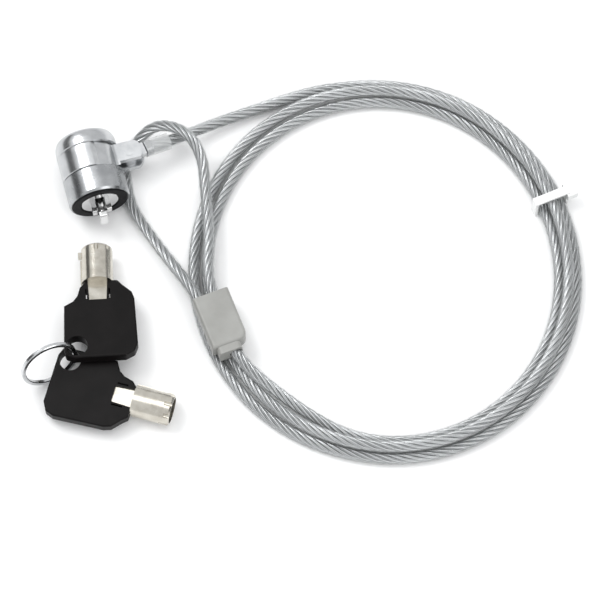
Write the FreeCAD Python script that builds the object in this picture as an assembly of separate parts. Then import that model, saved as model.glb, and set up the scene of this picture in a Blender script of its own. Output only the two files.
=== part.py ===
import FreeCAD, Part
import math
import os

V = FreeCAD.Vector

# ---------------------------------------------------------------- driving dimensions (mm)

# moves the whole layout so that the lock and its keys stand centred on the origin
LAYOUT = V(-1.25, 1.96, 0)

# lock head: local frame with Z out of the nose, X along the collar's arm, Y up.
# Local Z is 0 at the rim of the front shell, so the barrel fills Z < 0.
BARREL_R = 9.5
SHELL_FRONT_END = -8.4
COLLAR_END = -16.5
BARREL_END = -21.8
SEAM = 0.1
HEAD_YAW = 15.0
HEAD_FACE = V(0.4, 22.5, BARREL_R)

CORE_R = 7.6
CORE_BORE_R = 6.3
COLLAR_BORE_R = CORE_R + 0.05
RELIEF_R = 8.4
PAD_OUTER_R = 8.8
PAD_INNER_R = 6.0
PAD_DEPTH = 1.5
PAD_PROUD = 0.4

PEG_WIDTH = 1.5
PEG_SPAN = 6.0
PEG_HEIGHT = 2.6
PEG_LENGTH = 3.4
TBAR_LONG = 6.3
TBAR_WIDE = 2.65
TBAR_REACH = 6.2
TBAR_THICK = 1.9
NECK_R = 1.25
SPINDLE_R = 2.0

PIN_COUNT = 7
PIN_STEP = 45.0
PIN_CIRCLE_R = 4.3
PIN_R = 0.55
CHAMBER_R = 0.6
BUSHING_FRONT = -4.6
BUSHING_REAR = -11.5
PLUG_FRONT = -11.6
PLUG_REAR = -15.0
POST_R = 3.65
POST_END = -21.4
KEYWAY_R = 4.95
BEZEL_R = 6.25

ARM_HALF_HEIGHT = 3.2
ARM_TOP_WIDTH = (-16.3, -10.4)
ARM_LOW_WIDTH = (-16.3, -9.2)
EAR_GAP_HALF = 1.1
RIVET_X = 12.6
RIVET_Z = -13.0
RIVET_R = 1.2
EAR_TOP_R = 3.9
EAR_LOW_R = 4.3

# cable and what is on it
CABLE_R = 2.0
TERMINAL_YAW = 25.0
TERMINAL_DROOP = 10.0
TONGUE_HALF = 1.0
CRIMP_START = 5.0
CRIMP_END = 7.2
CRIMP_R = 2.3
SLEEVE_END = 13.0
SLEEVE_R = 2.65

COIL_CENTRE = V(87.5, 3.7, 0)
COIL_LONG = 59.1
COIL_SHORT = 55.4
COIL_END_R = 53.5
COIL_TURN = 17.0
COIL_HALF_SPREAD = 2.6
COIL_TOP_Z = 5.04

FERRULE_BASE = V(41.73, -26.02, 7.6)
FERRULE_TURN = 21.4
FERRULE_LENGTH = 19.5
FERRULE_NECK = 2.2
FERRULE_MIDDLE = -0.3
FERRULE_HALF_WIDTH = 5.7
FERRULE_HALF_HEIGHT = 3.35
FERRULE_WALL = 0.45
LANE_STANDING = 0.6
LANE_RETURN = -3.2
LANE_NECK = -1.0
NECK_HALF_WIDTH = 3.7

TIE_ANGLE = 67.0
TIE_WIDTH = 2.6
TIE_THICK = 0.9

# keys: local frame with Y along the shank towards its tip, X to the right, Z up
TUBE_R = 4.8
TUBE_BORE_R = 3.9
TUBE_LENGTH = 12.0
TUBE_DEPTH = 9.5
BOW_THICK = 3.8
BOW_LENGTH = 25.8
TONGUE_W = (6.0, 5.0)
TONGUE_T = 2.2
WINDOW_L = 6.3
TONGUE_L = 8.2
SLIT_X = (3.25, 3.75)
SLIT_Y = (-6.0, -2.6)
KEY_HOLE = V(-6.7, -21.8, 0)
KEY_HOLE_R = 3.25
NIB_SIZE = 1.4
NIB_HIGH = 0.9
RIB_HIGH = 0.3
KEY_1_AT = V(0.1, -3.3, 6.5)
KEY_1_YAW = 3.3
KEY_1_PITCH = -6.9
KEY_2_AT = V(11.7, -40.4, 4.93)
KEY_2_YAW = -105.3
KEY_2_PITCH = -0.4

RING_R = 8.4
RING_WIRE = 0.65
RING_YAW = 27.0
RING_LEAN = 77.3
RING_AT = V(-13.6, -30.28, 9.3)

# the cable's free stretches, point by point
LEAD_POINTS = [
    (23.5, 45.1, 6.9), (33.5, 50.8, 4.2), (44.5, 55.9, 2.4), (55.5, 60.2, 2.0), (66.5, 63.1, 2.0),
]
TAIL_POINTS = [
    (63.4, -43.7, 3.0), (53.6, -36.8, 4.9), (45.4, -30.2, 6.6), (41.0, -23.8, 7.5), (37.6, -13.7, 7.6),
]
EYE_POINTS = [
    (33.3, -1.9, 7.7), (34.0, 13.0, 7.8), (32.4, 27.6, 8.6), (31.7, 37.2, 10.0), (27.0, 44.8, 13.0),
    (17.1, 50.0, 8.3), (9.4, 44.3, 2.9), (7.2, 36.9, 2.0), (8.7, 26.6, 2.0), (12.0, 19.7, 2.3),
    (21.1, 5.5, 5.6), (31.2, -8.3, 7.6),
]
LOW_FROM = 222.0
LOW_TO = 346.0
LOW_TOP = 4.05
FERRULE_CLEAR = 0.2


# ---------------------------------------------------------------- helpers

def cylinder(radius, start, end, x=0.0, y=0.0):
    """A round bar along local Z from start to end."""
    low = min(start, end)
    return Part.makeCylinder(radius, abs(end - start), V(x, y, low), V(0, 0, 1))


def tube(outer, inner, start, end):
    """A hollow round bar along local Z."""
    return cylinder(outer, start, end).cut(cylinder(inner, start, end))


def block(x0, x1, y0, y1, z0, z1):
    """A box between two corners."""
    return Part.makeBox(x1 - x0, y1 - y0, z1 - z0, V(x0, y0, z0))


def lathe(profile):
    """A closed (radius, z) profile turned about local Z."""
    points = [V(r, 0, z) for r, z in profile]
    face = Part.Face(Part.makePolygon(points + points[:1]))
    return face.revolve(V(0, 0, 0), V(0, 0, 1), 360)


def outline(points, height, z=0.0):
    """A flat plate from its corner points."""
    corners = [V(x, y, z) for x, y in points]
    return Part.Face(Part.makePolygon(corners + corners[:1])).extrude(V(0, 0, height))


def edges_where(shape, test):
    """The edges whose centre of mass passes a test."""
    return [e for e in shape.Edges if test(e.CenterOfMass, e)]


def softened(shape, radius, test):
    """A shape with the chosen edges rounded, or the plain shape if that fails."""
    chosen = edges_where(shape, test)
    if not chosen:
        return shape
    try:
        rounded = shape.makeFillet(radius, chosen)
        if rounded.isValid() and rounded.Volume > 0:
            return rounded
    except Exception as problem:
        print("left sharp:", problem)
    return shape


def frame_matrix(x_axis, y_axis, z_axis, origin):
    """A placement whose columns are the local axes."""
    return FreeCAD.Placement(FreeCAD.Matrix(
        x_axis.x, y_axis.x, z_axis.x, origin.x,
        x_axis.y, y_axis.y, z_axis.y, origin.y,
        x_axis.z, y_axis.z, z_axis.z, origin.z,
        0, 0, 0, 1))


def head_placement():
    yaw = math.radians(HEAD_YAW)
    arm = V(math.cos(yaw), math.sin(yaw), 0)
    nose = V(math.sin(yaw), -math.cos(yaw), 0)
    return frame_matrix(arm, V(0, 0, 1), nose, HEAD_FACE)


def key_placement(at, yaw_deg, pitch_deg):
    turn = FreeCAD.Rotation(V(0, 0, 1), yaw_deg)
    tip = FreeCAD.Rotation(V(1, 0, 0), pitch_deg)
    return FreeCAD.Placement(at, turn.multiply(tip))


def save(name, shape, placement=None):
    """Write one sub-part where it belongs."""
    solid = shape.copy()
    if placement is not None:
        solid.Placement = placement.multiply(solid.Placement)
    solid.translate(LAYOUT)
    solids = solid.Solids
    if not solids or not solid.isValid():
        print("PROBLEM", name, "solids", len(solids), "valid", solid.isValid())
    out = solids[0] if len(solids) == 1 else Part.makeCompound(solids)
    out.exportStep("parts/" + name + ".step")
    box = out.BoundBox
    print("%-16s %2d solid(s) %9.2f mm3  x %.1f..%.1f y %.1f..%.1f z %.2f..%.2f" % (
        name, len(solids), out.Volume, box.XMin, box.XMax, box.YMin, box.YMax, box.ZMin, box.ZMax))
    return out


# ---------------------------------------------------------------- cord tubes

def route_wire(points, name):
    """Straight runs joined by arcs as large as the runs allow, and the tube's length."""
    edges = []
    start = points[0]
    radii = []
    length = 0.0
    for before, corner, after in zip(points, points[1:], points[2:]):
        run_in = corner.sub(before)
        run_out = after.sub(corner)
        half = run_in.getAngle(run_out) / 2
        setback = 0.45 * min(run_in.Length, run_out.Length)
        radius = setback / math.tan(half)
        u = V(run_in).normalize()
        w = V(run_out).normalize()
        arc_in = corner.sub(V(u).multiply(setback))
        arc_out = corner.add(V(w).multiply(setback))
        inward = w.sub(u).normalize()
        middle = corner.add(V(inward).multiply(radius / math.cos(half) - radius))
        edges.append(Part.LineSegment(start, arc_in).toShape())
        edges.append(Part.Arc(arc_in, middle, arc_out).toShape())
        length += start.distanceToPoint(arc_in) + 2 * half * radius
        start = arc_out
        radii.append(round(radius, 1))
    edges.append(Part.LineSegment(start, points[-1]).toShape())
    length += start.distanceToPoint(points[-1])
    print(name, "length %.1f" % length, "radii", radii)
    return Part.Wire(edges), length


def cord_tube(points, name):
    """A round tube along a route."""
    path, length = route_wire(points, name)
    along = points[1].sub(points[0])
    ring = Part.Wire(Part.makeCircle(CABLE_R, points[0], along))
    shape = path.makePipeShell([ring], True, False)
    if shape.Volume < 0:
        shape = shape.reversed()
    print(name, "volume ratio %.4f" % (shape.Volume / (math.pi * CABLE_R ** 2 * length)))
    return shape


# ---------------------------------------------------------------- lock head

def front_shell():
    body = lathe([
        (CORE_R, SHELL_FRONT_END), (BARREL_R - 0.3, SHELL_FRONT_END), (BARREL_R, SHELL_FRONT_END + 0.3),
        (BARREL_R, -0.7), (BARREL_R - 0.35, 0), (PAD_OUTER_R, 0), (PAD_OUTER_R, -PAD_DEPTH),
        (PAD_INNER_R, -PAD_DEPTH), (PAD_INNER_R, -2.3), (CORE_R, -2.3),
    ])
    return body


def rear_shell():
    steps = 10
    dome_start = COLLAR_END - 0.8
    crown_r = 6.4
    square = 0.68
    profile = [(CORE_R, COLLAR_END), (BARREL_R - 0.3, COLLAR_END), (BARREL_R, COLLAR_END - 0.3)]
    for i in range(steps + 1):
        a = math.radians(90 * i / steps)
        profile.append((crown_r + (BARREL_R - crown_r) * max(math.cos(a), 0) ** square,
                        dome_start + (BARREL_END - dome_start) * math.sin(a) ** square))
    profile += [(BEZEL_R, BARREL_END), (BEZEL_R, -20.9), (CORE_R, -20.9)]
    return lathe(profile)


def core_sleeve():
    body = tube(CORE_R, CORE_BORE_R, -20.9, -2.3)
    hole = Part.makeCylinder(0.75, 4, V(0, -CORE_R - 1, -8), V(0, 1, 0))
    return body.cut(hole)


def face_pad():
    return lathe([
        (PAD_INNER_R, -PAD_DEPTH), (PAD_OUTER_R, -PAD_DEPTH), (PAD_OUTER_R, 0.15),
        (PAD_OUTER_R - 0.3, PAD_PROUD), (PAD_INNER_R + 0.3, PAD_PROUD), (PAD_INNER_R, 0.15),
    ])


def nose_plate():
    plate = lathe([
        (NECK_R + 0.05, -3.6), (CORE_BORE_R, -3.6), (CORE_BORE_R, -2.3), (PAD_INNER_R, -2.3),
        (PAD_INNER_R, -0.2), (PAD_INNER_R - 0.3, 0.1), (NECK_R + 0.05, 0.1),
    ])
    slot_half = PEG_SPAN / 2 - PEG_WIDTH
    plate = plate.cut(block(-slot_half, slot_half, -3.6, 3.6, -2.2, 1.0))
    for side in (-1, 1):
        inner = side * slot_half
        outer = side * PEG_SPAN / 2
        peg = block(min(inner, outer), max(inner, outer), -PEG_HEIGHT / 2, PEG_HEIGHT / 2, -1.5, PEG_LENGTH)
        peg = softened(peg, 0.3, lambda c, e: c.z > PEG_LENGTH - 0.1)
        plate = plate.fuse(peg)
    return plate.cut(cylinder(NECK_R + 0.05, -4.0, 1.0)).removeSplitter()


def t_bar():
    neck = cylinder(NECK_R, -4.0, TBAR_REACH - 0.4)
    spindle = cylinder(SPINDLE_R, -13.6, -3.75)
    groove = tube(SPINDLE_R + 0.2, SPINDLE_R - 0.5, -4.4, -3.9)
    head = block(-TBAR_WIDE / 2, TBAR_WIDE / 2, -TBAR_LONG / 2, TBAR_LONG / 2,
                 TBAR_REACH - TBAR_THICK, TBAR_REACH)
    head = softened(head, 0.45, lambda c, e: abs(c.y) > TBAR_LONG / 2 - 0.1 or c.z > TBAR_REACH - 0.1)
    return neck.fuse(spindle).cut(groove).fuse(head).removeSplitter()


def spindle_clip():
    clip = tube(3.2, SPINDLE_R - 0.5, -4.35, -3.95)
    return clip.cut(block(-0.9, 0.9, -4, 0, -5, -3))


def chamber_angles():
    """Seven places at 45 degrees, the eighth left free under the retaining pin."""
    return [-90 + PIN_STEP * (i + 1) for i in range(PIN_COUNT)]


def chamber_spot(index):
    a = math.radians(chamber_angles()[index])
    return PIN_CIRCLE_R * math.cos(a), PIN_CIRCLE_R * math.sin(a)


def pin_bushing():
    body = tube(CORE_BORE_R, SPINDLE_R + 0.05, BUSHING_REAR, BUSHING_FRONT)
    for i in range(PIN_COUNT):
        x, y = chamber_spot(i)
        body = body.cut(cylinder(CHAMBER_R, BUSHING_REAR - 1, BUSHING_FRONT - 0.6, x, y))
    hole = Part.makeCylinder(0.75, 4, V(0, -CORE_R - 1, -8), V(0, 1, 0))
    return body.cut(hole)


def retaining_pin():
    return Part.makeCylinder(0.75, 2.9, V(0, -CORE_R + 0.1, -8), V(0, 1, 0))


def key_plug():
    disc = cylinder(CORE_BORE_R - 0.06, PLUG_REAR, PLUG_FRONT)
    post = lathe([(0, PLUG_REAR + 0.5), (POST_R, PLUG_REAR + 0.5), (POST_R, POST_END + 0.4),
                  (POST_R - 0.4, POST_END), (0, POST_END)])
    body = disc.fuse(post)
    body = body.cut(block(POST_R - 1.0, POST_R + 0.5, -0.8, 0.8, POST_END - 1, PLUG_REAR))
    body = body.cut(cylinder(SPINDLE_R, -13.6, PLUG_FRONT + 1))
    for i in range(PIN_COUNT):
        x, y = chamber_spot(i)
        body = body.cut(cylinder(CHAMBER_R, PLUG_REAR - 1, PLUG_FRONT + 1, x, y).cut(
            cylinder(POST_R, PLUG_REAR - 2, PLUG_REAR)))
    return body.removeSplitter()


def keyway_bezel():
    body = tube(BEZEL_R, KEYWAY_R, BARREL_END + 0.2, PLUG_REAR - 0.1)
    return body.cut(block(-BEZEL_R + 0.4, -KEYWAY_R + 0.6, -0.85, 0.85, BARREL_END - 1, -16.5))


def key_pin(index):
    x, y = chamber_spot(index)
    return cylinder(PIN_R, PLUG_REAR + 0.1, PLUG_FRONT, x, y)


def driver_pin(index):
    x, y = chamber_spot(index)
    return cylinder(PIN_R, BUSHING_REAR, BUSHING_REAR + 2.4, x, y)


def pin_spring(index):
    x, y = chamber_spot(index)
    low = BUSHING_REAR + 2.5
    high = BUSHING_FRONT - 0.7
    wire_r = 0.1
    coil_r = 0.48
    helix = Part.makeHelix((high - low - 2 * wire_r) / 6, high - low - 2 * wire_r, coil_r)
    ring = Part.Wire(Part.makeCircle(wire_r, V(coil_r, 0, 0), V(0, 1, 0)))
    spring = Part.Wire(helix).makePipeShell([ring], True, True)
    spring.translate(V(x, y, low + wire_r))
    return spring


def swivel_collar():
    rear = COLLAR_END + SEAM
    front = SHELL_FRONT_END - SEAM
    ring = lathe([(CORE_R, rear), (BARREL_R - 0.2, rear), (BARREL_R, rear + 0.2),
                  (BARREL_R, front - 0.2), (BARREL_R - 0.2, front), (CORE_R, front)])
    relief = cylinder(BARREL_R + 1, rear - 1, front + 1).cut(cylinder(RELIEF_R, rear - 1, front + 1))
    slant = [(0.9, 12), (0.9, 9.6), (2.5, 8.1), (2.5, -8.1), (0.9, -9.6), (0.9, -12), (12, -12), (12, 12)]
    relief = relief.common(outline(slant, front - rear + 2, rear - 1))
    ring = ring.cut(relief)
    top = plate_ear(EAR_GAP_HALF, ARM_HALF_HEIGHT, ARM_TOP_WIDTH, EAR_TOP_R)
    low = plate_ear(-ARM_HALF_HEIGHT, -EAR_GAP_HALF, ARM_LOW_WIDTH, EAR_LOW_R)
    root = block(6.5, 9.0, -ARM_HALF_HEIGHT, ARM_HALF_HEIGHT, ARM_LOW_WIDTH[0], ARM_LOW_WIDTH[1])
    body = ring.fuse([top, low, root])
    body = softened(body.removeSplitter(), 1.1, lambda c, e: neck_edge(c, e))
    body = body.cut(cylinder(COLLAR_BORE_R, rear - 1, front + 1))
    hole = Part.makeCylinder(RIVET_R, 10, V(RIVET_X, -5, RIVET_Z), V(0, 1, 0))
    return body.cut(hole).removeSplitter()


def neck_edge(centre, edge):
    """Where the arm's flat faces meet the collar's round neck."""
    return 7.4 < centre.x < 8.6 and abs(abs(centre.y) - ARM_HALF_HEIGHT) < 0.15 and edge.Length > 4


def plate_ear(y0, y1, width, radius):
    """One ear of the arm: straight sides and a rounded end about the rivet."""
    straight = block(6.5, RIVET_X, y0, y1, width[0], width[1])
    end = Part.makeCylinder(radius, y1 - y0, V(RIVET_X, y0, RIVET_Z), V(0, 1, 0))
    end = end.common(block(RIVET_X - 0.1, 20, y0, y1, width[0], width[1]))
    return straight.fuse(end)


def arm_rivet():
    shank = Part.makeCylinder(RIVET_R, 2 * ARM_HALF_HEIGHT, V(RIVET_X, -ARM_HALF_HEIGHT, RIVET_Z), V(0, 1, 0))
    for side in (-1, 1):
        cap = Part.makeCylinder(1.6, 0.12, V(RIVET_X, side * ARM_HALF_HEIGHT, RIVET_Z), V(0, side, 0))
        shank = shank.fuse(cap)
    return shank.removeSplitter()


# ---------------------------------------------------------------- cable pieces

def head_point(x, y, z):
    """A local point of the head in the row's frame."""
    return head_placement().multVec(V(x, y, z))


def terminal_frame(droop):
    """Local X along the cable from the rivet, Z up, origin on the rivet's axis."""
    rivet = head_point(RIVET_X, 0, RIVET_Z)
    turn = FreeCAD.Rotation(V(0, 0, 1), TERMINAL_YAW)
    tilt = FreeCAD.Rotation(V(0, 1, 0), droop)
    return FreeCAD.Placement(rivet, turn.multiply(tilt))


def along_terminal(distance):
    """A point on the cable's line, a distance past the bend of the terminal."""
    bend = terminal_frame(0).multVec(V(CRIMP_START - 1.0, 0, 0))
    step = terminal_frame(TERMINAL_DROOP).Rotation.multVec(V(distance - CRIMP_START + 1.0, 0, 0))
    return bend.add(step)


def cable_terminal():
    tongue = Part.makeCylinder(2.6, 2 * TONGUE_HALF, V(0, 0, -TONGUE_HALF))
    tongue = tongue.fuse(block(0, CRIMP_START, -2.0, 2.0, -TONGUE_HALF, TONGUE_HALF))
    tongue = tongue.cut(Part.makeCylinder(RIVET_R + 0.05, 6, V(0, 0, -3)))
    tongue.Placement = terminal_frame(0)
    start = along_terminal(CRIMP_START)
    end = along_terminal(CRIMP_END)
    barrel = Part.makeCylinder(CRIMP_R, CRIMP_END - CRIMP_START, start, end.sub(start))
    closed = along_terminal(CRIMP_START + 1.0)
    bore = Part.makeCylinder(CABLE_R, CRIMP_END - CRIMP_START, closed, end.sub(start))
    return tongue.fuse(barrel).cut(bore).removeSplitter()


def clear_sleeve():
    start = along_terminal(CRIMP_START + 0.1)
    end = along_terminal(SLEEVE_END)
    along = end.sub(start)
    crimp = Part.makeCylinder(CRIMP_R, CRIMP_END - CRIMP_START - 0.1, start, along)
    return Part.makeCylinder(SLEEVE_R, along.Length, start, along).cut(crimp).cut(
        Part.makeCylinder(CABLE_R, along.Length, start, along))


def coil_section(centre, outward):
    """The outline of the laid-up strands: a rounded trapezoid standing on the table."""
    low_half = COIL_HALF_SPREAD
    r = CABLE_R
    lean = math.atan2(COIL_TOP_Z - r, low_half)

    def at(side, height):
        return centre.add(V(outward).multiply(side)).add(V(0, 0, height))

    nx = math.sin(lean)
    nz = math.cos(lean)
    mid = math.radians(20)
    edges = [
        Part.LineSegment(at(-low_half, 0), at(low_half, 0)).toShape(),
        Part.Arc(at(low_half, 0), at(low_half + r * math.cos(mid), r - r * math.sin(mid)),
                 at(low_half + r * nx, r + r * nz)).toShape(),
        Part.LineSegment(at(low_half + r * nx, r + r * nz), at(r * nx, COIL_TOP_Z + r * nz)).toShape(),
        Part.Arc(at(r * nx, COIL_TOP_Z + r * nz), at(0, COIL_TOP_Z + r), at(-r * nx, COIL_TOP_Z + r * nz)).toShape(),
        Part.LineSegment(at(-r * nx, COIL_TOP_Z + r * nz), at(-low_half - r * nx, r + r * nz)).toShape(),
        Part.Arc(at(-low_half - r * nx, r + r * nz), at(-low_half - r * math.cos(mid), r - r * math.sin(mid)),
                 at(-low_half, 0)).toShape(),
    ]
    return Part.Face(Part.Wire(edges))


def cable_coil():
    """The oval ring of laid-up turns, as four tangent arcs."""
    end_shift = COIL_LONG - COIL_END_R
    side_r = (end_shift ** 2 + COIL_SHORT ** 2 - COIL_END_R ** 2) / (2 * (COIL_SHORT - COIL_END_R))
    side_shift = side_r - COIL_SHORT
    half_side = math.degrees(math.atan2(end_shift, side_shift))
    half_end = 90 - half_side
    pieces = []
    for base, radius, shift, half in (
            (0, side_r, -side_shift, half_side), (90, COIL_END_R, end_shift, half_end),
            (180, side_r, -side_shift, half_side), (270, COIL_END_R, end_shift, half_end)):
        out = V(math.cos(math.radians(base)), math.sin(math.radians(base)), 0)
        centre = V(out).multiply(shift)
        first = math.radians(base - half)
        outward = V(math.cos(first), math.sin(first), 0)
        face = coil_section(centre.add(V(outward).multiply(radius)), outward)
        pieces.append(face.revolve(centre, V(0, 0, 1), 2 * half))
    ring = pieces[0].fuse(pieces[1:]).removeSplitter()
    ring.rotate(V(0, 0, 0), V(0, 0, 1), COIL_TURN)
    ring.translate(COIL_CENTRE)
    reach = 2 * COIL_LONG
    steps = 3
    corners = [(COIL_CENTRE.x, COIL_CENTRE.y)]
    for i in range(steps + 1):
        a = math.radians(LOW_FROM + (LOW_TO - LOW_FROM) * i / steps)
        corners.append((COIL_CENTRE.x + reach * math.sin(a), COIL_CENTRE.y + reach * math.cos(a)))
    return ring.cut(outline(corners, 10, LOW_TOP))


def coil_radius(clockwise_deg):
    """Distance of the oval's middle line from its centre, clockwise from +Y."""
    a = math.radians(clockwise_deg + COIL_TURN)
    return (COIL_LONG + COIL_SHORT) / 2 + (COIL_LONG - COIL_SHORT) / 2 * math.cos(2 * a)


def coil_spot(clockwise_deg, offset, height):
    a = math.radians(clockwise_deg)
    r = coil_radius(clockwise_deg) + offset
    return COIL_CENTRE.add(V(r * math.sin(a), r * math.cos(a), height))


def ferrule_placement():
    return FreeCAD.Placement(FERRULE_BASE, FreeCAD.Rotation(V(0, 0, 1), FERRULE_TURN))


def ferrule_point(lane, along):
    return ferrule_placement().multVec(V(lane, along, 0))


def ferrule_crimp():
    """The pressed sleeve inside the cover, before the cable's lanes are taken out."""
    y0 = FERRULE_NECK + 1.5
    y1 = FERRULE_LENGTH - 1.5
    outer = CABLE_R + FERRULE_WALL
    body = block(LANE_RETURN, LANE_STANDING, y0, y1, -outer, outer)
    for lane in (LANE_STANDING, LANE_RETURN):
        body = body.fuse(Part.makeCylinder(outer, y1 - y0, V(lane, y0, 0), V(0, 1, 0)))
    body = body.removeSplitter()
    body.Placement = ferrule_placement()
    return body


def ferrule_solid():
    w = FERRULE_HALF_WIDTH
    h = FERRULE_HALF_HEIGHT
    middle = FERRULE_MIDDLE
    body = block(middle - w, middle + w, FERRULE_NECK, FERRULE_LENGTH, -h, h)
    body = softened(body, 2.6, lambda c, e: abs(c.z) < 0.1 and c.x > middle + w - 0.1 and c.y < FERRULE_NECK + 0.1)
    body = softened(body, 1.0, lambda c, e: abs(c.z) > h - 0.1 and abs(c.x - middle) > w - 0.9)
    neck = block(LANE_NECK - NECK_HALF_WIDTH, LANE_NECK + NECK_HALF_WIDTH, 0, FERRULE_NECK + 0.5, -h + 0.2, h - 0.6)
    neck = softened(neck, 1.2, lambda c, e: abs(c.x - LANE_NECK) > NECK_HALF_WIDTH - 0.1 and abs(c.z) > 2)
    body = body.fuse(neck).removeSplitter()
    body.Placement = ferrule_placement()
    return body


def cable_tie():
    """A closed strap around the coil with its square head on the outside."""
    a = math.radians(TIE_ANGLE)
    outward = V(math.sin(a), math.cos(a), 0)
    across = V(math.cos(a), -math.sin(a), 0)
    spot = COIL_CENTRE.add(V(outward).multiply(coil_radius(TIE_ANGLE)))
    half_in = COIL_HALF_SPREAD + CABLE_R + 0.15
    high = COIL_TOP_Z + CABLE_R + 0.15
    place = frame_matrix(outward, across, V(0, 0, -1), spot)
    strap = block(-half_in - TIE_THICK, half_in + TIE_THICK, -TIE_WIDTH / 2, TIE_WIDTH / 2, -high - TIE_THICK, 0)
    strap = softened(strap, 1.8, lambda c, e: c.z < -high)
    inside = block(-half_in, half_in, -TIE_WIDTH, TIE_WIDTH, -high, 1)
    strap = strap.cut(inside)
    strap = strap.fuse(block(-half_in - TIE_THICK, half_in + TIE_THICK, -TIE_WIDTH / 2, TIE_WIDTH / 2, -0.02, 0))
    head = block(half_in, half_in + 3.6, -2.3, 2.3, -high - 0.4, -high + 2.6)
    head = softened(head, 0.5, lambda c, e: c.x > half_in + 0.1)
    tie = strap.fuse(head)
    tie.Placement = place
    return tie


# ---------------------------------------------------------------- keys

def key_tongue(start, end, thick):
    """The flat tongue behind the tube, slightly tapered."""
    wide, narrow = TONGUE_W
    return outline([(-wide / 2, start), (-narrow / 2, -end), (narrow / 2, -end), (wide / 2, start)], thick, -thick / 2)


def key_shank():
    tube_body = Part.makeCylinder(TUBE_R, TUBE_LENGTH, V(0, 0, 0), V(0, 1, 0))
    tip = [e for e in tube_body.Edges if e.CenterOfMass.y > TUBE_LENGTH - 0.1 and e.Length > 20]
    tube_body = tube_body.makeChamfer(0.5, tip)
    rib = block(-TUBE_R - RIB_HIGH, -TUBE_R + 1.2, 0, 8.0, -NIB_SIZE / 2, NIB_SIZE / 2)
    nib = block(-TUBE_R - NIB_HIGH, -TUBE_R + 0.5, 9.0, 10.9, -NIB_SIZE / 2, NIB_SIZE / 2)
    tongue = key_tongue(0.5, TONGUE_L, TONGUE_T)
    body = tube_body.fuse([rib, nib, tongue])
    bore = Part.makeCylinder(TUBE_BORE_R, TUBE_DEPTH + 1, V(0, TUBE_LENGTH - TUBE_DEPTH, 0), V(0, 1, 0))
    body = body.cut(bore)
    depths = (1.2, 2.4, 1.8, 3.0, 1.2, 2.1, 2.7)
    for i, depth in enumerate(depths):
        a = math.radians(180 - PIN_STEP * (i + 1))
        x = (TUBE_R + 0.1) * math.cos(a)
        z = (TUBE_R + 0.1) * math.sin(a)
        body = body.cut(Part.makeCylinder(0.65, depth + 1, V(x, TUBE_LENGTH - depth, z), V(0, 1, 0)))
    return body.removeSplitter()


def bow_outline():
    return [
        (-3.6, 0), (6.2, 0), (7.4, -1.4), (10.3, -4.1), (11.0, -6.3), (11.6, -21.8),
        (10.6, -24.4), (7.8, -BOW_LENGTH), (-7.6, -BOW_LENGTH), (-10.2, -24.8), (-10.6, -22.6),
        (-10.3, -8.0), (-7.5, -6.4), (-6.2, -4.6), (-5.4, -1.8),
    ]


def key_bow():
    half = BOW_THICK / 2
    body = outline(bow_outline(), BOW_THICK, -half)
    body = softened(body, 1.4, lambda c, e: abs(c.z) < 0.05 and c.y < -20)
    body = softened(body, 0.5, lambda c, e: abs(abs(c.z) - half) < 0.05 and c.y < -0.5)
    tongue = key_tongue(0.5, TONGUE_L, TONGUE_T)
    window = key_tongue(0.5, TONGUE_L, 3 * BOW_THICK).common(
        block(-5, 5, -WINDOW_L, 1, -2 * BOW_THICK, 2 * BOW_THICK))
    body = body.cut(tongue).cut(window)
    for side in (-1, 1):
        x0, x1 = sorted((side * SLIT_X[0], side * SLIT_X[1]))
        body = body.cut(block(x0, x1, SLIT_Y[0], SLIT_Y[1], -half - 1, half + 1))
    hole = Part.makeCylinder(KEY_HOLE_R, 3 * BOW_THICK, KEY_HOLE.add(V(0, 0, -1.5 * BOW_THICK)))
    return body.cut(hole)


def ring_placement():
    yaw = math.radians(RING_YAW)
    lean = math.radians(RING_LEAN)
    e1 = V(math.cos(yaw), math.sin(yaw), 0)
    e2 = V(-math.sin(yaw) * math.cos(lean), math.cos(yaw) * math.cos(lean), math.sin(lean))
    return frame_matrix(e1, e2, e1.cross(e2), RING_AT)


def key_ring():
    """Two turns of flattened wire lying on each other, closed into one ring."""
    half = RING_WIRE
    section = Part.Face(Part.makePolygon([
        V(RING_R - half, 0, -half + 0.2), V(RING_R - half + 0.2, 0, -half), V(RING_R + half - 0.2, 0, -half),
        V(RING_R + half, 0, -half + 0.2), V(RING_R + half, 0, half - 0.2), V(RING_R + half - 0.2, 0, half),
        V(RING_R - half + 0.2, 0, half), V(RING_R - half, 0, half - 0.2), V(RING_R - half, 0, -half + 0.2)]))
    return section.revolve(V(0, 0, 0), V(0, 0, 1), 360)


# ---------------------------------------------------------------- assembly

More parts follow.
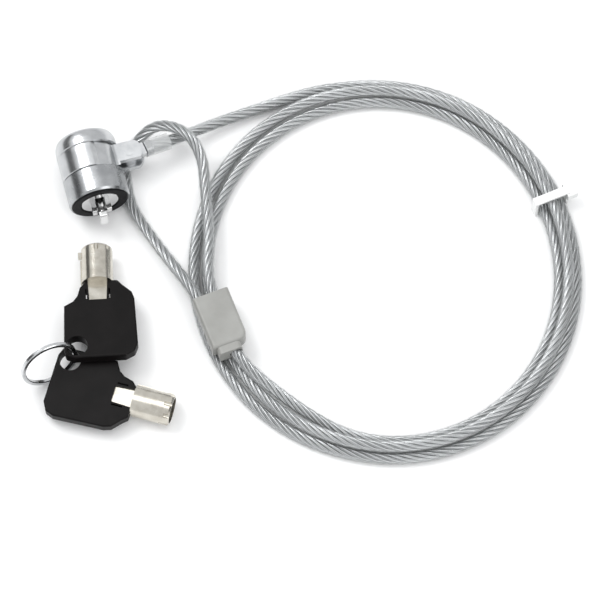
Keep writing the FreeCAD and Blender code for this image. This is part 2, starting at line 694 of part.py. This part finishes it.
def build():
    os.makedirs("parts", exist_ok=True)
    head = head_placement()
    save("front_shell", front_shell(), head)
    save("rear_shell", rear_shell(), head)
    save("core_sleeve", core_sleeve(), head)
    save("face_pad", face_pad(), head)
    save("nose_plate", nose_plate(), head)
    save("t_bar", t_bar(), head)
    save("spindle_clip", spindle_clip(), head)
    save("pin_bushing", pin_bushing(), head)
    save("retaining_pin", retaining_pin(), head)
    save("key_plug", key_plug(), head)
    save("keyway_bezel", keyway_bezel(), head)
    for i in range(PIN_COUNT):
        save("key_pin_%d" % (i + 1), key_pin(i), head)
        save("driver_pin_%d" % (i + 1), driver_pin(i), head)
        save("pin_spring_%d" % (i + 1), pin_spring(i), head)
    save("swivel_collar", swivel_collar(), head)
    save("arm_rivet", arm_rivet(), head)

    coil = cable_coil()
    lead = [along_terminal(CRIMP_START + 1.0)] + [V(*p) for p in LEAD_POINTS]
    lead.append(coil_spot(352, 2.6, CABLE_R))
    lead_tube = cord_tube(lead, "lead")
    eye = [V(*p) for p in TAIL_POINTS + EYE_POINTS]
    eye.append(ferrule_point(LANE_RETURN, FERRULE_LENGTH - 8.0))
    eye_tube = cord_tube(eye, "eye")
    room = ferrule_solid()
    room.translate(V(0, 0, -FERRULE_CLEAR))
    tie = cable_tie()
    coil = coil.cut(room).cut(eye_tube).cut(tie)
    crimp = ferrule_crimp()
    save("cable_coil", coil)
    save("cable_lead", lead_tube)
    save("cable_terminal", cable_terminal().cut(lead_tube))
    save("clear_sleeve", clear_sleeve().cut(lead_tube))
    save("cable_eye", eye_tube)
    save("ferrule_crimp", crimp.cut(eye_tube))
    save("ferrule_cover", ferrule_solid().cut(crimp).cut(eye_tube))
    save("cable_tie", tie)

    for name, at, yaw, pitch in (("key_1", KEY_1_AT, KEY_1_YAW, KEY_1_PITCH),
                                 ("key_2", KEY_2_AT, KEY_2_YAW, KEY_2_PITCH)):
        place = key_placement(at, yaw, pitch)
        save(name + "_shank", key_shank(), place)
        save(name + "_bow", key_bow(), place)
    save("key_ring", key_ring(), ring_placement())


build()
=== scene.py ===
"""Laptop cable lock: the real cable, the materials and the set, round the CAD frame."""
import math

import bpy
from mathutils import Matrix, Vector


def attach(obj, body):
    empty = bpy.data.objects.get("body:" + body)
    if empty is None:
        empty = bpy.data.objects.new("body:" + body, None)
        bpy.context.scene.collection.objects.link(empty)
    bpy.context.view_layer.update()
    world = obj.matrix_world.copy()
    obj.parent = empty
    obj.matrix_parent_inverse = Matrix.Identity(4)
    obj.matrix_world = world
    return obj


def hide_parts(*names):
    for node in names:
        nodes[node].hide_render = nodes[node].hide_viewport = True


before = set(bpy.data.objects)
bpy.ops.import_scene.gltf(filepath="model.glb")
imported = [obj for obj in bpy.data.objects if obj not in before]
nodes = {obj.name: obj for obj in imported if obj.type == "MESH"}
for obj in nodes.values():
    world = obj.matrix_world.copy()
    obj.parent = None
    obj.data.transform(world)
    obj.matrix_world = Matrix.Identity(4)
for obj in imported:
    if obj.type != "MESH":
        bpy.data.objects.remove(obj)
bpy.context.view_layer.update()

MM = 0.001


def add_object(name, data):
    """A new object in the scene that holds the data."""
    obj = bpy.data.objects.new(name, data)
    bpy.context.collection.objects.link(obj)
    return obj


# ---------------------------------------------------------------- camera

LOOK_AT = Vector((0.06025, -0.00394, 0.0))
CAMERA_DISTANCE = 1.0
CAMERA_ELEVATION = math.radians(68.0)
FIELD_WIDTH = 0.183
SENSOR_WIDTH = 36.0

camera_data = bpy.data.cameras.new("camera")
camera_data.sensor_width = SENSOR_WIDTH
camera_data.lens = SENSOR_WIDTH * CAMERA_DISTANCE / FIELD_WIDTH
camera_data.clip_start = 0.01
camera_data.clip_end = 10.0
camera = add_object("camera", camera_data)
back = Vector((0.0, -math.cos(CAMERA_ELEVATION), math.sin(CAMERA_ELEVATION)))
camera.location = LOOK_AT + back * CAMERA_DISTANCE
camera.rotation_mode = "QUATERNION"
camera.rotation_quaternion = (-back).to_track_quat("-Z", "Y")
bpy.context.scene.camera = camera

# ---------------------------------------------------------------- the cable's route
# Lengths here are in millimetres, as in the part's source, until spline_points makes them metres.

CABLE_R = 2.0
SHIFT = Vector((-1.25, 1.96, 0.0))
TERMINAL_START = (13.37, 42.80, 9.15)
RETURN_END = (33.30, -14.52, 7.6)
LEAD_POINTS = [(23.5, 45.1, 6.9), (33.5, 50.8, 4.2), (44.5, 55.9, 2.4), (55.5, 60.2, 2.0)]
TAIL_POINTS = [
    (63.4, -43.7, 3.0), (53.6, -36.8, 4.9), (45.4, -30.2, 6.6), (41.0, -23.8, 7.5),
    (37.6, -13.7, 7.6),
]
EYE_POINTS = [
    (33.3, -1.9, 7.7), (34.0, 13.0, 7.8), (32.4, 27.6, 8.6), (31.7, 37.2, 10.0),
    (27.0, 44.8, 13.0), (17.1, 50.0, 8.3), (9.4, 44.3, 2.9), (7.2, 36.9, 2.0),
    (8.7, 26.6, 2.0), (12.0, 19.7, 2.3), (21.1, 5.5, 5.6), (31.2, -8.3, 7.6),
]

COIL_CENTRE = Vector((87.5, 3.7, 0.0))
COIL_LONG = 59.1
COIL_SHORT = 55.4
COIL_TURN = 17.0
COIL_START_DEG = -18.0
POINTS_A_TURN = 24
TURNS = 2.584
# How the turns lie: turns made, distance outside the oval's middle line, height of the cable's
# centre.
COIL_LAY = [
    (0.0, 4.0, 2.0), (0.05, 2.9, 2.0), (0.2, 2.6, 2.0), (0.6, 2.6, 2.0), (0.65, 3.4, 2.0),
    (0.70, 3.3, 2.0), (0.76, 3.0, 2.0), (0.87, 2.05, 2.0), (0.94, 1.6, 2.7), (1.0, 0.8, 4.2),
    (1.05, 0.0, 5.07), (1.6, 0.0, 5.07), (1.65, -0.2, 3.9), (1.70, -0.6, 2.6), (1.745, -1.0, 2.0),
    (1.87, -2.05, 2.0), (2.0, -2.6, 2.0), (2.54, -2.6, 2.0), (2.584, -3.0, 2.1), (3.0, -4.0, 3.0),
]
SPLINE_STEPS = 12
CENTRELINE_GAP = 0.0011


def coil_radius(clockwise_deg):
    """Distance of the oval's middle line from its centre, clockwise from +Y."""
    a = math.radians(clockwise_deg + COIL_TURN)
    return (COIL_LONG + COIL_SHORT) / 2 + (COIL_LONG - COIL_SHORT) / 2 * math.cos(2 * a)


def lay_at(turns):
    """Offset and height after that many turns, eased between the listed places."""
    for (p0, o0, z0), (p1, o1, z1) in zip(COIL_LAY, COIL_LAY[1:]):
        if p0 <= turns <= p1:
            t = (turns - p0) / (p1 - p0)
            t = t * t * (3 - 2 * t)
            return o0 + (o1 - o0) * t, z0 + (z1 - z0) * t


def coil_points():
    """Control points round the coil.

    The middle of a quadratic spline's span is (a + 6 b + c) / 8 of its three control points, so
    the points stand out from the wanted radius by the inverse of that.
    """
    step = 360.0 / POINTS_A_TURN
    grow = 8.0 / (6.0 + 2.0 * math.cos(math.radians(step)))
    points = []
    for i in range(int(TURNS * POINTS_A_TURN) + 1):
        turns = i / POINTS_A_TURN
        deg = COIL_START_DEG + 360.0 * turns
        offset, height = lay_at(turns)
        r = (coil_radius(deg) + offset) * grow
        a = math.radians(deg)
        points.append(COIL_CENTRE + Vector((r * math.sin(a), r * math.cos(a), height)))
    return points


def moved(points):
    """The listed points in the frame's place: the whole layout is shifted to the head."""
    return [Vector(p) + SHIFT for p in points]


route = [Vector(TERMINAL_START)] + moved(LEAD_POINTS) + moved(coil_points())
route += moved(TAIL_POINTS) + moved(EYE_POINTS) + [Vector(RETURN_END)]


def spline_points(control):
    """Points along the smooth spline whose control points are given, in metres."""
    curve = bpy.data.curves.new("route", "CURVE")
    curve.dimensions = "3D"
    curve.resolution_u = SPLINE_STEPS
    spline = curve.splines.new("NURBS")
    spline.points.add(len(control) - 1)
    for point, co in zip(spline.points, control):
        point.co = (co.x * MM, co.y * MM, co.z * MM, 1.0)
    spline.order_u = 3
    spline.use_endpoint_u = True
    holder = add_object("route", curve)
    bpy.context.view_layer.update()
    evaluated = holder.evaluated_get(bpy.context.evaluated_depsgraph_get())
    mesh = bpy.data.meshes.new_from_object(evaluated)
    points = [v.co.copy() for v in mesh.vertices]
    bpy.data.meshes.remove(mesh)
    bpy.data.objects.remove(holder)
    bpy.data.curves.remove(curve)
    return points


def evenly(points, gap):
    """The same line with points a fixed distance apart, and no very short step at its end."""
    out = [points[0].copy()]
    left = gap
    for a, b in zip(points, points[1:]):
        length = (b - a).length
        done = 0.0
        while length - done >= left and length > 0:
            done += left
            out.append(a.lerp(b, done / length))
            left = gap
        left -= length - done
    if (out[-1] - points[-1]).length < 0.4 * gap:
        out[-1] = points[-1].copy()
    else:
        out.append(points[-1].copy())
    return out


def lengths_along(points):
    """Distance from the first point to each point."""
    out = [0.0]
    for a, b in zip(points, points[1:]):
        out.append(out[-1] + (b - a).length)
    return out


def frames_along(points):
    """A steady frame at each point: tangent and two sides that turn as little as they can."""
    tangents = []
    for i in range(len(points)):
        a = points[max(i - 1, 0)]
        b = points[min(i + 1, len(points) - 1)]
        tangents.append((b - a).normalized())
    side = tangents[0].cross(Vector((0, 0, 1))).normalized()
    out = []
    for i, t in enumerate(tangents):
        if i:
            side = side - t * side.dot(t)
            side.normalize()
        out.append((t, side.copy(), t.cross(side)))
    return out


centreline = evenly(spline_points(route), CENTRELINE_GAP)
frames = frames_along(centreline)
distances = lengths_along(centreline)
print("cable length", round(distances[-1], 4), "points", len(centreline))


# ---------------------------------------------------------------- mesh helpers

class Builder:
    """Collects skinned tubes into one mesh, with UVs that run along each tube and round it."""

    def __init__(self):
        self.verts = []
        self.faces = []
        self.uvs = []
        self.slots = []

    def face(self, corners, uvs, slot):
        self.faces.append(tuple(corners))
        self.uvs.append(uvs)
        self.slots.append(slot)

    def tube(self, rings, lengths, slot, u_scale):
        """Skins closed rings; u runs along the tube in metres times u_scale, v once round it."""
        first = len(self.verts)
        count = len(rings[0])
        for ring in rings:
            self.verts.extend(ring)
        for i in range(len(rings) - 1):
            for j in range(count):
                a = first + i * count + j
                b = first + i * count + (j + 1) % count
                u0 = lengths[i] * u_scale
                u1 = lengths[i + 1] * u_scale
                v0 = j / count
                v1 = (j + 1) / count
                self.face((a, b, b + count, a + count),
                          ((u0, v0), (u0, v1), (u1, v1), (u1, v0)), slot)
        start_cap = range(first, first + count)
        end_cap = range(first + (len(rings) - 1) * count, first + len(rings) * count)
        for cap in (reversed(start_cap), end_cap):
            self.face(cap, ((0.0, 0.0),) * count, slot)

    def build(self, name, materials):
        mesh = bpy.data.meshes.new(name)
        mesh.from_pydata([tuple(v) for v in self.verts], [], self.faces)
        layer = mesh.uv_layers.new(name="UVMap")
        layer.data.foreach_set("uv", [c for face in self.uvs for uv in face for c in uv])
        mesh.polygons.foreach_set("material_index", self.slots)
        mesh.polygons.foreach_set("use_smooth", [len(f) == 4 for f in self.faces])
        for material in materials:
            mesh.materials.append(material)
        mesh.update()
        return add_object(name, mesh)


def ring_points(centre, side, up, radius, count):
    """A circle of points round the centre, in the plane of side and up."""
    return [centre + side * (radius * math.cos(2 * math.pi * j / count))
            + up * (radius * math.sin(2 * math.pi * j / count)) for j in range(count)]


# ---------------------------------------------------------------- materials

class Shader:
    """A Principled material with a few procedural nodes hung on it."""

    def __init__(self, name, colour, metallic=0.0, roughness=0.5, **sockets):
        self.material = bpy.data.materials.new(name)
        self.material.use_nodes = True
        self.nodes = self.material.node_tree.nodes
        self.links = self.material.node_tree.links
        self.out = self.nodes["Principled BSDF"]
        self.out.inputs["Base Color"].default_value = (*colour, 1.0)
        self.out.inputs["Metallic"].default_value = metallic
        self.out.inputs["Roughness"].default_value = roughness
        for socket, value in sockets.items():
            self.out.inputs[socket.replace("_", " ")].default_value = value

    def coords(self, kind):
        return self.nodes.new("ShaderNodeTexCoord").outputs[kind]

    def noise(self, scale, detail, rough=0.5):
        node = self.nodes.new("ShaderNodeTexNoise")
        node.inputs["Scale"].default_value = scale
        node.inputs["Detail"].default_value = detail
        node.inputs["Roughness"].default_value = rough
        self.links.new(self.coords("Object"), node.inputs["Vector"])
        return node.outputs["Fac"]

    def ramp(self, value, stops):
        node = self.nodes.new("ShaderNodeValToRGB")
        elements = node.color_ramp.elements
        for i, (at, colour) in enumerate(stops):
            stop = elements[i] if i < 2 else elements.new(at)
            stop.position = at
            stop.color = (*colour, 1.0)
        self.links.new(value, node.inputs["Fac"])
        return node.outputs["Color"]

    def maths(self, operation, a, b=None):
        """One maths node on sockets or numbers; b is left out for a function of one value."""
        node = self.nodes.new("ShaderNodeMath")
        node.operation = operation
        for socket, value in zip(node.inputs, (a, b)):
            if isinstance(value, (int, float)):
                socket.default_value = value
            elif value is not None:
                self.links.new(value, socket)
        return node.outputs["Value"]

    def colour(self, value):
        self.links.new(value, self.out.inputs["Base Color"])

    def rough(self, value, low, high):
        node = self.nodes.new("ShaderNodeMapRange")
        node.inputs["To Min"].default_value = low
        node.inputs["To Max"].default_value = high
        self.links.new(value, node.inputs["Value"])
        self.links.new(node.outputs["Result"], self.out.inputs["Roughness"])

    def bump(self, value, strength, distance):
        node = self.nodes.new("ShaderNodeBump")
        node.inputs["Strength"].default_value = strength
        node.inputs["Distance"].default_value = distance
        self.links.new(value, node.inputs["Height"])
        self.links.new(node.outputs["Normal"], self.out.inputs["Normal"])


def chrome_material(name, low, high, rough):
    s = Shader(name, high, metallic=1.0, roughness=0.12)
    s.colour(s.ramp(s.noise(scale=180.0, detail=3.0), [(0.35, low), (0.7, high)]))
    s.rough(s.noise(scale=420.0, detail=4.0), *rough)
    s.bump(s.noise(scale=2600.0, detail=2.0), strength=0.05, distance=0.00002)
    return s.material


def steel_material(name, low, high, rough=(0.2, 0.36)):
    s = Shader(name, high, metallic=1.0, roughness=0.28)
    s.colour(s.ramp(s.noise(scale=240.0, detail=4.0), [(0.3, low), (0.72, high)]))
    s.rough(s.noise(scale=700.0, detail=4.0), *rough)
    s.bump(s.noise(scale=2400.0, detail=3.0, rough=0.6), strength=0.12, distance=0.00004)
    return s.material


def plastic_material(name, low, high, rough, grain=3000.0, bump=0.15, **sockets):
    s = Shader(name, high, roughness=0.4, **sockets)
    s.colour(s.ramp(s.noise(scale=150.0, detail=4.0), [(0.3, low), (0.75, high)]))
    s.rough(s.noise(scale=500.0, detail=3.0), *rough)
    s.bump(s.noise(scale=grain, detail=2.0), strength=bump, distance=0.00005)
    return s.material


def strand_material():
    """Steel strands, with fine wires laid slantwise on each by a wave along its UVs; the same wave
    paints shade into the grooves between the wires and highlight onto their crowns.
    """
    wires_round = 6.0
    groove_shade_grey, flank_shade_grey, crown_highlight_grey = (0.10, 0.105, 0.11), (0.36, 0.37, 0.375), (0.56, 0.57, 0.575)
    s = Shader("strand_steel", (0.42, 0.43, 0.44), metallic=1.0, roughness=0.3)
    along_and_round = s.nodes.new("ShaderNodeSeparateXYZ")
    s.links.new(s.coords("UV"), along_and_round.inputs["Vector"])
    round_strand = s.maths("MULTIPLY", along_and_round.outputs["Y"], wires_round)
    twist = s.maths("ADD", round_strand, along_and_round.outputs["X"])
    wires = s.maths("ABSOLUTE", s.maths("SINE", s.maths("MULTIPLY", twist, math.pi)))
    # Painted shade in the grooves between wires, darker flanks, and painted highlight on the wires'
    # crowns.
    s.colour(s.ramp(wires, [(0.0, groove_shade_grey), (0.35, flank_shade_grey), (1.0, crown_highlight_grey)]))
    s.rough(s.noise(scale=900.0, detail=3.0), 0.22, 0.38)
    s.bump(wires, strength=0.5, distance=0.00012)
    return s.material


def coat_material():
    """The clear plastic coat: clear and glossy, with a slight milkiness."""
    low, high = (0.55, 0.57, 0.57), (0.70, 0.72, 0.72)
    s = Shader("clear_coat", (0.62, 0.64, 0.64), roughness=0.14, Alpha=0.13, IOR=1.5)
    s.colour(s.ramp(s.noise(scale=120.0, detail=3.0), [(0.3, low), (0.7, high)]))
    s.rough(s.noise(scale=600.0, detail=3.0), 0.08, 0.2)
    s.bump(s.noise(scale=500.0, detail=2.0), strength=0.08, distance=0.00008)
    return s.material


def dress(node, material):
    """Give a CAD node its material."""
    mesh = nodes[node].data
    mesh.materials.clear()
    mesh.materials.append(material)


# Each material's darkest and lightest colour, then its range of roughness where it is its own.
chrome = chrome_material("chrome_plate", (0.48, 0.49, 0.50), (0.60, 0.61, 0.62), (0.20, 0.30))
# The front shell's chrome is a darker copy of the same plate: painted shade standing in for the
# darker surroundings it mirrors on the camera side.
chrome_painted_shade = chrome_material("chrome_front_painted_shade", (0.35, 0.36, 0.37), (0.46, 0.47, 0.48), (0.20, 0.32))
nose_chrome = chrome_material("chrome_nose", (0.60, 0.60, 0.60), (0.76, 0.76, 0.76), (0.10, 0.2))
pin_steel = steel_material("pin_steel", (0.42, 0.42, 0.43), (0.60, 0.60, 0.61))
nickel = steel_material("key_nickel", (0.50, 0.47, 0.41), (0.72, 0.69, 0.62), (0.14, 0.28))
ring_steel = steel_material("ring_steel", (0.52, 0.53, 0.54), (0.74, 0.75, 0.76), (0.12, 0.24))
brass = steel_material("turned_brass", (0.55, 0.40, 0.18), (0.76, 0.60, 0.32))
crimp_alloy = steel_material("crimp_alloy", (0.56, 0.57, 0.58), (0.72, 0.73, 0.74), (0.3, 0.5))
bow_plastic = plastic_material("bow_plastic", (0.0035, 0.003, 0.003), (0.007, 0.006, 0.006),
                               (0.36, 0.5), Specular_IOR_Level=0.12)
pad_rubber = plastic_material("pad_rubber", (0.004, 0.004, 0.005), (0.010, 0.010, 0.011),
                              (0.5, 0.66), Specular_IOR_Level=0.15)
cover_plastic = plastic_material("cover_plastic", (0.27, 0.27, 0.255), (0.33, 0.33, 0.315),
                                 (0.3, 0.46), grain=1800.0, bump=0.2)
tie_nylon = plastic_material("tie_nylon", (0.80, 0.81, 0.80), (0.90, 0.90, 0.89),
                             (0.34, 0.48), grain=2200.0, bump=0.1)
sleeve_vinyl = plastic_material("sleeve_vinyl", (0.66, 0.68, 0.68), (0.78, 0.79, 0.79),
                                (0.08, 0.18), grain=1500.0, bump=0.1, Alpha=0.3)

# ---------------------------------------------------------------- the cable

STRANDS = 6
STRAND_R = 0.57 * MM
STRAND_CIRCLE = 1.13 * MM
STRAND_SIDES = 12
LAY_LENGTH = 21.0 * MM
WIRE_TURN = 4.0 * MM
CORE_R = 0.62 * MM
CORE_SIDES = 6
COAT_SIDES = 18
STEEL_SLOT, COAT_SLOT = 0, 1


def straight_rings(radius, count):
    """Rings square to the cable's centreline."""
    return [ring_points(centre, side, up, radius, count)
            for centre, (t, side, up) in zip(centreline, frames)]


def strand_rings(k):
    """Rings of strand k as it winds round the core, each square to the strand."""
    lean = math.atan(2 * math.pi * STRAND_CIRCLE / LAY_LENGTH)
    rings = []
    for centre, (t, side, up), s in zip(centreline, frames, distances):
        a = 2 * math.pi * (k / STRANDS + s / LAY_LENGTH)
        outward = side * math.cos(a) + up * math.sin(a)
        round_way = up * math.cos(a) - side * math.sin(a)
        along = t * math.cos(lean) + round_way * math.sin(lean)
        rings.append(ring_points(centre + outward * STRAND_CIRCLE, outward, along.cross(outward),
                                 STRAND_R, STRAND_SIDES))
    return rings


def build_cable():
    """Six steel strands round a core, under the clear coat."""
    builder = Builder()
    for k in range(STRANDS):
        builder.tube(strand_rings(k), distances, STEEL_SLOT, 1.0 / WIRE_TURN)
    builder.tube(straight_rings(CORE_R, CORE_SIDES), distances, STEEL_SLOT, 1.0 / WIRE_TURN)
    builder.tube(straight_rings(CABLE_R * MM, COAT_SIDES), distances, COAT_SLOT, 1.0)
    return builder.build("steel_cable", [strand_material(), coat_material()])


cable = build_cable()
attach(cable, "cable")
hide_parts("cable_coil", "cable_lead", "cable_eye")
[tuple(p) for p in centreline]

# ---------------------------------------------------------------- CAD nodes' materials

PIN_COUNT = 7
NODE_MATERIALS = {
    "rear_shell": chrome, "front_shell": chrome_painted_shade, "swivel_collar": chrome, "arm_rivet": chrome,
    "face_pad": pad_rubber, "nose_plate": nose_chrome, "t_bar": nose_chrome,
    "core_sleeve": pin_steel, "spindle_clip": pin_steel, "pin_bushing": brass,
    "retaining_pin": pin_steel, "key_plug": pin_steel, "keyway_bezel": pin_steel,
    "cable_terminal": chrome, "clear_sleeve": sleeve_vinyl, "ferrule_crimp": crimp_alloy,
    "ferrule_cover": cover_plastic, "cable_tie": tie_nylon, "key_1_shank": nickel,
    "key_2_shank": nickel, "key_1_bow": bow_plastic, "key_2_bow": bow_plastic,
    "key_ring": ring_steel,
}
for i in range(1, PIN_COUNT + 1):
    NODE_MATERIALS["key_pin_%d" % i] = brass
    NODE_MATERIALS["driver_pin_%d" % i] = pin_steel
    NODE_MATERIALS["pin_spring_%d" % i] = ring_steel
for node, material in NODE_MATERIALS.items():
    dress(node, material)

# ---------------------------------------------------------------- floor and light

HALF_FLOOR = 3.0
FLOOR_DROP = 0.00002
CARD_FRONT, CARD_BACK, CARD_FOOT = -0.25, 0.30, 0.02


def flat_sheet(name, corners, material):
    """One four-cornered sheet of the set."""
    mesh = bpy.data.meshes.new(name)
    mesh.from_pydata(corners, [], [(0, 1, 2, 3)])
    mesh.materials.append(material)
    return add_object(name, mesh)


floor_shader = Shader("floor_paper", (0.95, 0.95, 0.95), roughness=0.9)
floor_shader.colour(floor_shader.ramp(floor_shader.noise(scale=3.0, detail=2.0),
                                      [(0.3, (0.945, 0.945, 0.945)), (0.7, (0.955, 0.955, 0.955))]))
floor = flat_sheet("floor", [(-HALF_FLOOR, -HALF_FLOOR, 0), (HALF_FLOOR, -HALF_FLOOR, 0),
                             (HALF_FLOOR, HALF_FLOOR, 0), (-HALF_FLOOR, HALF_FLOOR, 0)],
                   floor_shader.material)
floor.location.z = -FLOOR_DROP

card_grey = Shader("card_grey", (0.09, 0.09, 0.09), roughness=0.9).material


def dark_card(name, x, top):
    """An upright dark card beside the set, for the chrome to mirror."""
    card = flat_sheet(name, [(x, CARD_FRONT, CARD_FOOT), (x, CARD_BACK, CARD_FOOT),
                             (x, CARD_BACK, top), (x, CARD_FRONT, top)], card_grey)


dark_card("left_card", -0.22, 0.14)
dark_card("right_card", 0.40, 0.16)


def area_light(name, place, look, size, power):
    """A round lamp at a place, turned to what it looks at."""
    data = bpy.data.lights.new(name, "AREA")
    data.shape = "DISK"
    data.size = size
    data.energy = power
    lamp = add_object(name, data)
    lamp.location = place
    lamp.rotation_mode = "QUATERNION"
    lamp.rotation_quaternion = (Vector(look) - Vector(place)).to_track_quat("-Z", "Y")


area_light("key_light", (-0.55, 0.35, 1.1), (0.05, 0, 0), size=0.6, power=6.0)
area_light("fill_light", (0.8, -0.6, 0.9), (0.06, 0, 0), size=0.8, power=3.0)
area_light("top_light", (0.1, 0.1, 1.4), (0.06, 0, 0), size=1.0, power=3.5)

world = bpy.data.worlds.new("studio")
bpy.context.scene.world = world
world.use_nodes = True
background = world.node_tree.nodes["Background"]
background.inputs["Color"].default_value = (0.98, 0.99, 1.0, 1.0)
background.inputs["Strength"].default_value = 0.86

bpy.context.scene.view_settings.view_transform = "Standard"
